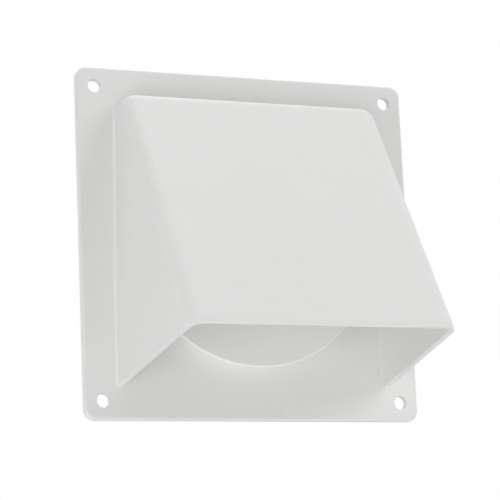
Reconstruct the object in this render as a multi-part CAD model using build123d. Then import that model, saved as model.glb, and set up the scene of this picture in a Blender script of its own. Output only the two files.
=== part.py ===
from build123d import *
import os
from math import radians, tan

# Gravity flap vent for a round duct: a moulded wall cowl, and the flap that hangs in it and falls shut.
# Millimetres. The wall is the plane Y = 0, the hood stands out towards -Y, the spigot enters the wall
# towards +Y, and +Z is up. The origin is the centre of the wall plate's back face.

# Duct spigot, whose front end is the leaning rim that the flap rests on
DUCT_BORE = 100.0
SPIGOT_CLEARANCE = 0.5
SPIGOT_WALL = 2.0
SPIGOT_LENGTH = 38.0
SPIGOT_END_CHAMFER = 1.0
SEAT_TILT = 3.0
SEAT_RISE = 0.5

# Flap
FLAP_THICKNESS = 1.6
FLAP_OVERLAP = 0.6
FLAP_EDGE_CHAMFER = 0.5
FLAP_TAB_RADIUS = 4.0
SEAT_GAP = 0.2
RIB_THICKNESS = 1.2
RIB_HEIGHT = 2.0
RIB_BORE_GAP = 2.5

# Hinge: a pin at each end of the flap's barrel, snapped into an open bearing on the plate
PIN_DIAMETER = 3.0
PIN_CLEARANCE = 0.08
PIN_END_CHAMFER = 0.4
BARREL_WALL = 0.7
BARREL_LENGTH = 48.0
BARREL_GAP = 0.7
HINGE_RISE = 1.5
BEARING_WALL = 1.5
BEARING_WIDTH = 4.0
BEARING_END_GAP = 0.4
BEARING_LIP = 0.3

# Hood
HOOD_WALL = 2.4
HOOD_SIDE_ROOM = 4.5
HOOD_TOP_ROOM = 1.3
HOOD_TOP_DEPTH = 9.5
HOOD_DEPTH = 74.8
HOOD_DRAFT = 3.0
HOOD_SIDE_LEAN = 1.2
HOOD_EDGE_RADIUS = 6.5
HOOD_FOOT_RADIUS = 1.0
MOUTH_FOOT_DROP = 6.9
LIP_RISE = 12.0
LIP_BAND = 2.0
LIP_EDGE_RADIUS = 0.4

# Wall plate
PLATE_THICKNESS = 3.0
PLATE_MARGIN = 13.0
PLATE_CORNER_RADIUS = 4.5
PLATE_EDGE_RADIUS = 1.0
SCREW_HOLE_DIAMETER = 5.5
SCREW_EDGE_DISTANCE = 7.5

# Sizes that follow from the ones above
SPIGOT_RADIUS = DUCT_BORE / 2 - SPIGOT_CLEARANCE
BORE_RADIUS = SPIGOT_RADIUS - SPIGOT_WALL
FLAP_RADIUS = SPIGOT_RADIUS + FLAP_OVERLAP
PIN_RADIUS = PIN_DIAMETER / 2
BARREL_RADIUS = PIN_RADIUS + BARREL_WALL
BEARING_HOLE_RADIUS = PIN_RADIUS + PIN_CLEARANCE
BEARING_RADIUS = BEARING_HOLE_RADIUS + BEARING_WALL
HINGE_Y = -(PLATE_THICKNESS + BARREL_GAP + BARREL_RADIUS)
HINGE_Z = SPIGOT_RADIUS + HINGE_RISE
HOOD_TOP = HINGE_Z + BEARING_RADIUS + HOOD_TOP_ROOM + HOOD_WALL
HOOD_HALF_WIDTH = FLAP_RADIUS + HOOD_SIDE_ROOM + HOOD_WALL
HOOD_INNER_RADIUS = HOOD_EDGE_RADIUS - HOOD_WALL
MOUTH_FOOT_Z = -(FLAP_RADIUS + MOUTH_FOOT_DROP)
LIP_Z = MOUTH_FOOT_Z + LIP_RISE
PLATE_SIZE = 2 * (HOOD_HALF_WIDTH + PLATE_MARGIN)
SCREW_PITCH = PLATE_SIZE - 2 * SCREW_EDGE_DISTANCE

PLATE_FRONT = Plane.XZ.offset(PLATE_THICKNESS)
HOOD_TOP_EDGE = Vector(0, -(PLATE_THICKNESS + HOOD_TOP_DEPTH), HOOD_TOP)
NOSE = Vector(0, -(PLATE_THICKNESS + HOOD_DEPTH), LIP_Z + LIP_BAND)
LIP = Vector(0, NOSE.Y, LIP_Z)
MOUTH_FOOT = Vector(0, -PLATE_THICKNESS, MOUTH_FOOT_Z)
MOUTH = Plane(MOUTH_FOOT, x_dir=(1, 0, 0), z_dir=Vector(0, LIP_RISE, HOOD_DEPTH))
HINGE = Plane.YZ * Pos(HINGE_Y, HINGE_Z)

# The rim leans out towards its foot, so that the flap's own weight holds it shut
SEAT_TOP = Vector(0, -(PLATE_THICKNESS + SEAT_RISE), SPIGOT_RADIUS)
SEAT = Plane(SEAT_TOP, x_dir=(1, 0, 0), z_dir=Vector(0, -1, 0).rotate(Axis.X, -SEAT_TILT))


def wall_plate():
    """The square plate that lies on the wall."""
    outline = RectangleRounded(PLATE_SIZE, PLATE_SIZE, PLATE_CORNER_RADIUS)
    return extrude(Plane.XZ * outline, PLATE_THICKNESS)


def plate_front_face(body):
    """The flat face of the plate round the hood, next in line from the plate's back."""
    return body.faces().filter_by(Axis.Y).group_by(Axis.Y)[-2][0]


def hood_walls():
    """The outer planes of the hood's sides, top and sloping front."""
    draft = tan(radians(HOOD_DRAFT))
    lean = tan(radians(HOOD_SIDE_LEAN))
    fall = NOSE - HOOD_TOP_EDGE
    right_foot = (HOOD_HALF_WIDTH, -PLATE_THICKNESS, MOUTH_FOOT_Z)
    left_foot = (-HOOD_HALF_WIDTH, -PLATE_THICKNESS, MOUTH_FOOT_Z)
    return [
        Plane(right_foot, z_dir=(1, -draft, lean)),
        Plane(left_foot, z_dir=(-1, -draft, lean)),
        Plane((0, -PLATE_THICKNESS, HOOD_TOP), z_dir=(0, -draft, 1)),
        Plane(NOSE, z_dir=(0, fall.Z, -fall.Y)),
    ]


def hood_form(inset, edge_radius):
    """The hood's outside, or with an inset the space inside it, not yet cut open underneath."""
    foot = Pos(0, MOUTH_FOOT_Z - HOOD_FOOT_RADIUS)
    block = foot * Rectangle(PLATE_SIZE, PLATE_SIZE, align=(Align.CENTER, Align.MIN))
    form = extrude(PLATE_FRONT * block, HOOD_DEPTH)
    for wall in hood_walls():
        form = split(form, bisect_by=wall.offset(-inset), keep=Keep.BOTTOM)
    back_edges = form.faces().sort_by(Axis.Y)[-1].edges()
    foot_edges = form.faces().sort_by(Axis.Z)[0].edges()
    convex_edges = form.edges() - back_edges - foot_edges
    nose_edge = convex_edges.filter_by(Axis.X).sort_by(Axis.Y)[0:1]
    return fillet(convex_edges - nose_edge, edge_radius)


def mouth_cut():
    """What is taken off under the hood, from past its lip back to the plate."""
    past_lip = LIP + (LIP - MOUTH_FOOT)
    low = -PLATE_SIZE / 2
    corners = [(MOUTH_FOOT.Y, MOUTH_FOOT.Z), (past_lip.Y, past_lip.Z), (past_lip.Y, low), (MOUTH_FOOT.Y, low)]
    return extrude(Plane.YZ * Polygon(*corners, align=None), PLATE_SIZE / 2, both=True)


def duct_bar(radius):
    """A round bar along the duct, from the spigot's far end to the leaning rim."""
    far_end = Plane.XZ.offset(-SPIGOT_LENGTH)
    bar = extrude(far_end * Circle(radius), SPIGOT_LENGTH + PLATE_THICKNESS + HOOD_DEPTH)
    return split(bar, bisect_by=SEAT, keep=Keep.BOTTOM)


def spigot():
    """The spigot before its bore: it enters the duct, and stands through the plate as the flap's seat."""
    bar = duct_bar(SPIGOT_RADIUS)
    return chamfer(bar.edges().sort_by(Axis.Y)[-1], SPIGOT_END_CHAMFER)


def bearings():
    """The two bearings. A slot narrower than the pin opens each one to the front."""
    root = Rectangle(-HINGE_Y, 2 * BEARING_RADIUS, align=(Align.MIN, Align.CENTER))
    slot_height = PIN_DIAMETER - 2 * BEARING_LIP
    slot = Rectangle(2 * BEARING_RADIUS, slot_height, align=(Align.MAX, Align.CENTER))
    profile = Circle(BEARING_RADIUS) + root - Circle(BEARING_HOLE_RADIUS) - slot
    inner_end = Pos(0, 0, BARREL_LENGTH / 2 + BEARING_END_GAP)
    bearing = extrude(HINGE * inner_end * profile, BEARING_WIDTH)
    return bearing + mirror(bearing, Plane.YZ)


def screw_holes():
    """The four holes in the plate's corners."""
    hole = Circle(SCREW_HOLE_DIAMETER / 2)
    pattern = Sketch() + GridLocations(SCREW_PITCH, SCREW_PITCH, 2, 2) * hole
    return extrude(Plane.XZ * pattern, PLATE_THICKNESS)


def cowl():
    """The one-piece moulding: wall plate, hood, spigot and hinge bearings."""
    body = wall_plate() + hood_form(0, HOOD_EDGE_RADIUS)
    hood_outline = plate_front_face(body).inner_wires()[0].edges().sort_by(Axis.Z)
    body = fillet(hood_outline[1:], HOOD_FOOT_RADIUS)
    body = fillet(plate_front_face(body).outer_wire().edges(), PLATE_EDGE_RADIUS)
    body -= hood_form(HOOD_WALL, HOOD_INNER_RADIUS)
    body -= mouth_cut()
    rim_edges = body.faces().filter_by(MOUTH)[0].edges().sort_by(Axis.Y)[:-2]
    nose_edge = body.edges().filter_by(Axis.X).group_by(Axis.Y)[0].sort_by(Axis.Z)[-1:]
    body = fillet(rim_edges + nose_edge, LIP_EDGE_RADIUS)
    body += spigot() + bearings()
    return body - duct_bar(BORE_RADIUS) - screw_holes()


def flap():
    """The disc that covers the rim, with its stiffening ribs, hinge barrel and pins."""
    back = SEAT.offset(SEAT_GAP)
    centre = back.to_local_coords(SEAT.intersect(Axis.Y))
    hinge = back.to_local_coords(Vector(0, HINGE_Y, HINGE_Z))
    disc = back * Pos(0, centre.Y)
    tab = Rectangle(BARREL_LENGTH, hinge.Y - centre.Y, align=(Align.CENTER, Align.MIN))
    outline = Circle(FLAP_RADIUS) + tab
    tab_roots = outline.vertices().sort_by(Axis.Y)[-4:-2]
    body = extrude(disc * fillet(tab_roots, FLAP_TAB_RADIUS), FLAP_THICKNESS)
    front_edges = body.faces().sort_by(Axis(SEAT_TOP, SEAT.z_dir))[-1].edges()
    body = chamfer(front_edges, FLAP_EDGE_CHAMFER)

    rib_radius = BORE_RADIUS - RIB_BORE_GAP
    rib_span = 2 * rib_radius - RIB_THICKNESS
    ribs = Circle(rib_radius) - Circle(rib_radius - RIB_THICKNESS)
    ribs += Rectangle(rib_span, RIB_THICKNESS) + Rectangle(RIB_THICKNESS, rib_span)
    body += extrude(disc * ribs, -RIB_HEIGHT)

    body += extrude(HINGE * Circle(BARREL_RADIUS), BARREL_LENGTH / 2, both=True)
    pin_reach = BARREL_LENGTH / 2 + BEARING_END_GAP + BEARING_WIDTH
    pins = extrude(HINGE * Circle(PIN_RADIUS), pin_reach, both=True)
    pin_ends = pins.edges().filter_by(GeomType.CIRCLE).group_by(Axis.X)
    return body + chamfer(pin_ends[0] + pin_ends[-1], PIN_END_CHAMFER)


os.makedirs("parts", exist_ok=True)
for name, piece in {"cowl": cowl(), "gravity_flap": flap()}.items():
    piece.label = name
    export_step(piece, f"parts/{name}.step")
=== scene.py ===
"""Gravity flap vent: the finish of its two mouldings, and the plain studio that it is shown in.

Metres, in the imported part's own frame: the wall is Y = 0, the hood stands out towards -Y, and +Z is up.
"""

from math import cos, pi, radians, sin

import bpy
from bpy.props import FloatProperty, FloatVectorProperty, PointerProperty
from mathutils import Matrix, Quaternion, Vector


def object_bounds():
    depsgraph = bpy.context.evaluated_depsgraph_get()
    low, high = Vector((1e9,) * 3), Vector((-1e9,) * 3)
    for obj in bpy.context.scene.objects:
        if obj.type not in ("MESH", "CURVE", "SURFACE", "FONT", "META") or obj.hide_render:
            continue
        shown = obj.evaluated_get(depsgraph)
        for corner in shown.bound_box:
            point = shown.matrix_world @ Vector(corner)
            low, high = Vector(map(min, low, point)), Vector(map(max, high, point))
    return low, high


bl_info = {
    "name": "Gravity Flap Vent",
    "version": (1, 0, 0),
    "blender": (4, 5, 0),
    "location": "3D View > Sidebar > Vent",
    "description": "Gives a gravity flap vent its moulded finish and sets up a plain studio for it",
    "category": "Object",
}

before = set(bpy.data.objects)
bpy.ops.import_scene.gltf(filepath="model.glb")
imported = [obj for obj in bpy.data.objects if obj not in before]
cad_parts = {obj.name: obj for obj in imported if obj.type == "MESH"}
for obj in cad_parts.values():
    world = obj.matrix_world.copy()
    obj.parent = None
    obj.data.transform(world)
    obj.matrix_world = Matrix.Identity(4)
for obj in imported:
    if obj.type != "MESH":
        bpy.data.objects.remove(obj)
CAD_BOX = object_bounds()
MM = 0.001

# Moulded ABS: how it bends light, and how wide and strong the uneven spots of colour, gloss and form are
ABS_IOR = 1.53
CLOUD_WIDTH = 35 * MM
CLOUD_SHADE = 0.975
GLOSS_SPREAD = 0.06
SINK_WIDTH = 60 * MM
SINK_DEPTH = 0.3 * MM

# How many times shallower the grain of polished steel is drawn than that of spark-eroded steel
POLISH_RATIO = 3

# Most values of a noise texture lie between these two
NOISE_LOW = 0.3
NOISE_HIGH = 0.7

# Rays that feel for a near edge, at each point where one is softened
EDGE_SAMPLES = 4

# Mesh points this close are welded, and an edge that bends less than this belongs to a round or a flat
WELD_DISTANCE = 0.002 * MM
CREASE_ANGLE = radians(28)

# The background's colour, and the strength at which it renders as plain white
WHITE = (1, 1, 1, 1)
WHITE_STRENGTH = 1.0

# How far the floor reaches each way, and the distances from the vent between which it turns white
FLOOR_REACH = 12.0
FADE_START = 0.8
FADE_END = 3.0

# Width of the camera's sensor, in millimetres as Blender takes it
SENSOR_WIDTH = 36

# Soft square lamps round the vent: azimuth and elevation in degrees, distance and size in metres, and
# the brightness that each gives a white surface facing it
LAMPS = {
    "overhead_lamp": (180, 80, 1.6, 1.2, 0.49),
    "left_top_lamp": (-60, 70, 1.8, 1.2, 0.11),
    "right_front_lamp": (50, 30, 1.8, 1.2, 0.33),
    "front_lamp": (-20, -24, 1.4, 1.0, 0.19),
    "low_left_lamp": (-62, -28, 1.0, 0.7, 0.37),
    "low_right_lamp": (38, -32, 1.0, 0.7, 0.13),
    "under_lamp": (-10, -62, 1.2, 1.2, 0.10),
    "left_back_lamp": (-120, 10, 1.6, 1.2, 0.13),
    "right_lamp": (95, 12, 1.6, 1.4, 0.12),
    "back_lamp": (180, 25, 1.6, 1.2, 0.22),
}


def linear(hex_colour):
    """An sRGB hex colour as linear red, green and blue."""
    parts = [int(hex_colour[i:i + 2], 16) / 255 for i in (1, 3, 5)]
    return tuple(c / 12.92 if c <= 0.04045 else ((c + 0.055) / 1.055) ** 2.4 for c in parts)


def add(tree, kind, inputs=None, **settings):
    """Adds a node with its settings, and with its inputs as values or as links from other sockets."""
    node = tree.nodes.new(kind)
    for name, value in settings.items():
        setattr(node, name, value)
    for name, value in (inputs or {}).items():
        if isinstance(value, bpy.types.NodeSocket):
            tree.links.new(value, node.inputs[name])
        else:
            node.inputs[name].default_value = value
    return node


class VentFinish(bpy.types.PropertyGroup):
    """Colours and surface of the two mouldings."""

    cowl_colour: FloatVectorProperty(
        name="Cowl colour", description="White of the cowl's plastic",
        subtype="COLOR", min=0, max=1, default=linear("#E6E6E5"),
    )
    # The flap's white is lighter than the cowl's. Part of it is the plastic's own colour, part is painted
    # light that makes up for the shade inside the hood.
    flap_colour_with_painted_light: FloatVectorProperty(
        name="Flap colour", description="White of the flap's plastic",
        subtype="COLOR", min=0, max=1, default=linear("#F0F0EF"),
    )
    cowl_roughness: FloatProperty(
        name="Cowl roughness", description="Mean roughness of the cowl's eroded surface",
        subtype="FACTOR", min=0, max=1, default=0.55,
    )
    flap_roughness: FloatProperty(
        name="Flap roughness", description="Mean roughness of the flap's polished surface",
        subtype="FACTOR", min=0, max=1, default=0.36,
    )
    grain_size: FloatProperty(
        name="Grain size", description="Width of the mould's grain as it is drawn",
        unit="LENGTH", min=0, default=0.9 * MM,
    )
    grain_depth: FloatProperty(
        name="Grain depth", description="Height of the cowl's grain as it is drawn",
        unit="LENGTH", min=0, default=0.04 * MM,
    )
    edge_softness: FloatProperty(
        name="Edge softness", description="Radius that the light sees on edges left sharp by the mould",
        unit="LENGTH", min=0, default=0.25 * MM,
    )


class VentStage(bpy.types.PropertyGroup):
    """Floor, lamps and camera."""

    floor_drop: FloatProperty(
        name="Floor drop", description="Height of the vent's lowest edge over the floor",
        unit="LENGTH", min=0, default=1.13,
    )
    floor_colour: FloatVectorProperty(
        name="Floor colour", description="Pale paint of the floor",
        subtype="COLOR", min=0, max=1, default=linear("#E0E0DF"),
    )
    fill_level: FloatProperty(
        name="Fill", description="Brightness of the light that comes from all round",
        min=0, default=0.28,
    )
    lamp_level: FloatProperty(
        name="Lamps", description="Brightness of all the lamps together",
        min=0, default=1.0,
    )
    camera_azimuth: FloatProperty(
        name="Camera azimuth",
        description="Turn of the camera round the vent, to the right of straight ahead",
        subtype="ANGLE", default=radians(-21.42),
    )
    camera_elevation: FloatProperty(
        name="Camera elevation", description="Height of the camera over the horizon",
        subtype="ANGLE", default=radians(-11.73),
    )
    camera_roll: FloatProperty(
        name="Camera roll", description="Turn of the camera about its own line of sight",
        subtype="ANGLE", default=radians(-2.525),
    )
    camera_distance: FloatProperty(
        name="Camera distance",
        description="Distance from the camera to the centre of the plate's back",
        unit="LENGTH", min=0, default=0.8524,
    )
    camera_aim: FloatVectorProperty(
        name="Camera aim", description="Point that the camera looks at",
        subtype="XYZ", unit="LENGTH", default=(1.3 * MM, -0.3 * MM, -1.0 * MM),
    )
    camera_lens: FloatProperty(
        name="Camera lens", description=f"Focal length in millimetres on a {SENSOR_WIDTH} mm wide sensor",
        min=1, default=153.5,
    )


def moulded_abs(name, colour, roughness, grain_depth, finish):
    """White ABS, injection moulded.

    The pigment makes it opaque and even, with a faint cloudiness where the melt flowed. The steel's
    grain is pressed into the skin, so that highlights are broad and slightly speckled, and thick walls
    pull the surface in a little as they cool, so that flat faces are never quite flat.
    """
    material = bpy.data.materials.new(name)
    material.use_nodes = True
    tree = material.node_tree
    tree.nodes.clear()
    place = add(tree, "ShaderNodeTexCoord").outputs["Object"]

    # Clouds of the melt
    clouds = add(tree, "ShaderNodeTexNoise", {"Vector": place, "Scale": 1 / CLOUD_WIDTH, "Detail": 3.0})
    shade = [c * CLOUD_SHADE for c in colour]
    tint = add(
        tree, "ShaderNodeMix",
        {"Factor": clouds.outputs["Fac"], "A": (*shade, 1), "B": (*colour, 1)},
        data_type="RGBA",
    )

    # Grain of the steel. The real grain is about 0.1 mm wide, so it is drawn coarser and deeper, to show
    grain = add(
        tree, "ShaderNodeTexNoise",
        {"Vector": place, "Scale": 1 / finish.grain_size, "Detail": 2.0, "Roughness": 0.6},
    )
    speckle = add(
        tree, "ShaderNodeMapRange",
        {"Value": grain.outputs["Fac"], "From Min": NOISE_LOW, "From Max": NOISE_HIGH,
         "To Min": roughness - GLOSS_SPREAD, "To Max": roughness + GLOSS_SPREAD},
    )

    # Sink of the cooling walls, and the soft edges that it lies over
    sink = add(tree, "ShaderNodeTexNoise", {"Vector": place, "Scale": 1 / SINK_WIDTH, "Detail": 1.0})
    edges = add(tree, "ShaderNodeBevel", {"Radius": finish.edge_softness}, samples=EDGE_SAMPLES)
    wavy = add(
        tree, "ShaderNodeBump",
        {"Height": sink.outputs["Fac"], "Distance": SINK_DEPTH, "Normal": edges.outputs["Normal"]},
    )
    grainy = add(
        tree, "ShaderNodeBump",
        {"Height": grain.outputs["Fac"], "Distance": grain_depth, "Normal": wavy.outputs["Normal"]},
    )
    skin = add(
        tree, "ShaderNodeBsdfPrincipled",
        {"Base Color": tint.outputs["Result"], "Roughness": speckle.outputs["Result"],
         "IOR": ABS_IOR, "Normal": grainy.outputs["Normal"]},
    )
    add(tree, "ShaderNodeOutputMaterial", {"Surface": skin.outputs["BSDF"]})
    return material


def smooth_rounds():
    """A node group that joins a moulding's faces and keeps only its true corners sharp to the light."""
    group = bpy.data.node_groups.new("smooth_rounds", "GeometryNodeTree")
    group.interface.new_socket("Geometry", in_out="INPUT", socket_type="NodeSocketGeometry")
    group.interface.new_socket("Geometry", in_out="OUTPUT", socket_type="NodeSocketGeometry")
    mesh = add(group, "NodeGroupInput").outputs["Geometry"]
    joined = add(group, "GeometryNodeMergeByDistance", {"Geometry": mesh, "Distance": WELD_DISTANCE})
    rounded = add(
        group, "GeometryNodeSetShadeSmooth",
        {"Geometry": joined.outputs["Geometry"], "Shade Smooth": True}, domain="FACE",
    )
    angle = add(group, "GeometryNodeInputMeshEdgeAngle").outputs["Unsigned Angle"]
    is_round = add(group, "FunctionNodeCompare", {"A": angle, "B": CREASE_ANGLE}, operation="LESS_THAN")
    creased = add(
        group, "GeometryNodeSetShadeSmooth",
        {"Geometry": rounded.outputs["Geometry"], "Shade Smooth": is_round.outputs["Result"]},
        domain="EDGE",
    )
    add(group, "NodeGroupOutput", {"Geometry": creased.outputs["Geometry"]})
    return group


def finish_moulding(node, material):
    """Gives a CAD node its material, and normals that keep its flats flat and its rounds smooth."""
    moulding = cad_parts[node]
    moulding.data.materials.clear()
    moulding.data.materials.append(material)
    rounds = bpy.data.node_groups.get("smooth_rounds") or smooth_rounds()
    moulding.modifiers.new("rounds", "NODES").node_group = rounds
    flats = moulding.modifiers.new("flats", "WEIGHTED_NORMAL")
    flats.mode = "FACE_AREA"
    flats.keep_sharp = True


class VENT_OT_finish_cowl(bpy.types.Operator):
    """Finish the cowl as white plastic moulded against spark-eroded steel"""

    bl_idname = "vent.finish_cowl"
    bl_label = "Finish Cowl"

    def execute(self, context):
        finish = context.scene.vent_finish
        material = moulded_abs(
            "white_abs_spark_eroded",
            finish.cowl_colour, finish.cowl_roughness, finish.grain_depth, finish,
        )
        finish_moulding("cowl", material)
        return {"FINISHED"}


class VENT_OT_finish_flap(bpy.types.Operator):
    """Finish the flap as white plastic moulded against polished steel"""

    bl_idname = "vent.finish_flap"
    bl_label = "Finish Flap"

    def execute(self, context):
        finish = context.scene.vent_finish
        # The flap's lighter white carries painted light, which offsets the shade it hangs in under the
        # hood.
        material = moulded_abs(
            "white_abs_polished",
            finish.flap_colour_with_painted_light, finish.flap_roughness, finish.grain_depth / POLISH_RATIO, finish,
        )
        finish_moulding("gravity_flap", material)
        return {"FINISHED"}


def direction(azimuth, elevation):
    """The way from the vent to something at that azimuth and elevation."""
    flat = cos(elevation)
    return Vector((sin(azimuth) * flat, -cos(azimuth) * flat, sin(elevation)))


def white_background(tree):
    """A socket: 1 where the background is seen, in a reflection too, and 0 where it only gives light."""
    path = add(tree, "ShaderNodeLightPath").outputs
    seen = add(
        tree, "ShaderNodeMath",
        {0: path["Is Camera Ray"], 1: path["Is Glossy Ray"]}, operation="MAXIMUM",
    )
    seen = add(
        tree, "ShaderNodeMath",
        {0: seen.outputs[0], 1: path["Is Transmission Ray"]}, operation="MAXIMUM",
    )
    return seen.outputs[0]


def light_world(fill_level):
    """Even light from all round, and plain white behind the vent."""
    world = bpy.data.worlds.new("studio")
    world.use_nodes = True
    tree = world.node_tree
    tree.nodes.clear()
    strength = add(
        tree, "ShaderNodeMapRange",
        {"Value": white_background(tree), "To Min": fill_level, "To Max": WHITE_STRENGTH},
    )
    sky = add(tree, "ShaderNodeBackground", {"Color": WHITE, "Strength": strength.outputs["Result"]})
    add(tree, "ShaderNodeOutputWorld", {"Surface": sky.outputs["Background"]})
    bpy.context.scene.world = world


def floor_paint(colour):
    """Matt paint, rolled on.

    It has no shine, so the light on it is soft and even. A few metres off it turns to plain white.
    """
    material = bpy.data.materials.new("matt_floor_paint")
    material.use_nodes = True
    tree = material.node_tree
    tree.nodes.clear()
    place = add(tree, "ShaderNodeTexCoord").outputs["Object"]
    away = add(tree, "ShaderNodeVectorMath", {0: place}, operation="LENGTH").outputs["Value"]
    far = add(
        tree, "ShaderNodeMapRange",
        {"Value": away, "From Min": FADE_START, "From Max": FADE_END}, interpolation_type="SMOOTHSTEP",
    )
    fade = add(
        tree, "ShaderNodeMath",
        {0: far.outputs["Result"], 1: white_background(tree)}, operation="MULTIPLY",
    )
    paint = add(tree, "ShaderNodeBsdfDiffuse", {"Color": (*colour, 1)})
    white = add(tree, "ShaderNodeEmission", {"Color": WHITE, "Strength": WHITE_STRENGTH})
    mixed = add(
        tree, "ShaderNodeMixShader",
        {0: fade.outputs[0], 1: paint.outputs["BSDF"], 2: white.outputs["Emission"]},
    )
    add(tree, "ShaderNodeOutputMaterial", {"Surface": mixed.outputs["Shader"]})
    return material


def lay_floor(drop, colour):
    """A painted floor under the vent."""
    height = CAD_BOX[0].z - drop
    signs = ((-1, -1), (1, -1), (1, 1), (-1, 1))
    corners = [(x * FLOOR_REACH, y * FLOOR_REACH, height) for x, y in signs]
    mesh = bpy.data.meshes.new("floor")
    mesh.from_pydata(corners, [], [(0, 1, 2, 3)])
    mesh.materials.append(floor_paint(colour))
    floor = bpy.data.objects.new("floor", mesh)
    bpy.context.scene.collection.objects.link(floor)


def hang_lamp(name, azimuth, elevation, distance, size, brightness, level):
    """A square soft lamp that faces the vent."""
    lamp = bpy.data.lights.new(name, "AREA")
    lamp.shape = "SQUARE"
    lamp.size = size
    # The power at which a white surface that faces the lamp, at this distance, has the brightness
    lamp.energy = level * brightness * (pi * distance) ** 2
    lamp_object = bpy.data.objects.new(name, lamp)
    towards = direction(radians(azimuth), radians(elevation))
    lamp_object.location = towards * distance
    lamp_object.rotation_mode = "QUATERNION"
    lamp_object.rotation_quaternion = towards.to_track_quat("Z", "Y")
    lamp_object.visible_camera = False
    bpy.context.scene.collection.objects.link(lamp_object)


def place_camera(stage):
    """The photograph's camera: a long lens, a little to the left and looking slightly up."""
    camera = bpy.data.objects.new("camera", bpy.data.cameras.new("camera"))
    camera.data.lens = stage.camera_lens
    camera.data.sensor_width = SENSOR_WIDTH
    camera.location = direction(stage.camera_azimuth, stage.camera_elevation) * stage.camera_distance
    sight = (Vector(stage.camera_aim) - camera.location).to_track_quat("-Z", "Y")
    camera.rotation_mode = "QUATERNION"
    camera.rotation_quaternion = sight @ Quaternion((0, 0, 1), stage.camera_roll)
    bpy.context.scene.collection.objects.link(camera)
    bpy.context.scene.camera = camera


class VENT_OT_set_stage(bpy.types.Operator):
    """Set up the floor, the lamps and the camera"""

    bl_idname = "vent.set_stage"
    bl_label = "Set Stage"

    def execute(self, context):
        stage = context.scene.vent_stage
        context.scene.view_settings.view_transform = "Standard"
        light_world(stage.fill_level)
        lay_floor(stage.floor_drop, stage.floor_colour)
        for name, lamp in LAMPS.items():
            hang_lamp(name, *lamp, stage.lamp_level)
        place_camera(stage)
        return {"FINISHED"}


class VENT_PT_panel(bpy.types.Panel):
    """The vent's finish and stage"""

    bl_idname = "VENT_PT_panel"
    bl_label = "Gravity Flap Vent"
    bl_space_type = "VIEW_3D"
    bl_region_type = "UI"
    bl_category = "Vent"

    def draw(self, context):
        layout = self.layout
        for settings in (context.scene.vent_finish, context.scene.vent_stage):
            box = layout.box()
            for name in settings.__annotations__:
                box.prop(settings, name)
        for operator in OPERATORS:
            layout.operator(operator.bl_idname)


OPERATORS = (VENT_OT_finish_cowl, VENT_OT_finish_flap, VENT_OT_set_stage)
CLASSES = (VentFinish, VentStage, *OPERATORS, VENT_PT_panel)


def register():
    """Adds the classes and the scene's settings."""
    for cls in CLASSES:
        bpy.utils.register_class(cls)
    bpy.types.Scene.vent_finish = PointerProperty(type=VentFinish)
    bpy.types.Scene.vent_stage = PointerProperty(type=VentStage)


def unregister():
    """Takes the scene's settings and the classes away again."""
    del bpy.types.Scene.vent_stage
    del bpy.types.Scene.vent_finish
    for cls in reversed(CLASSES):
        bpy.utils.unregister_class(cls)


def main():
    """Finishes the vent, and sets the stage."""
    register()
    bpy.ops.vent.finish_cowl()
    bpy.ops.vent.finish_flap()
    bpy.ops.vent.set_stage()


if __name__ == "__main__":
    main()
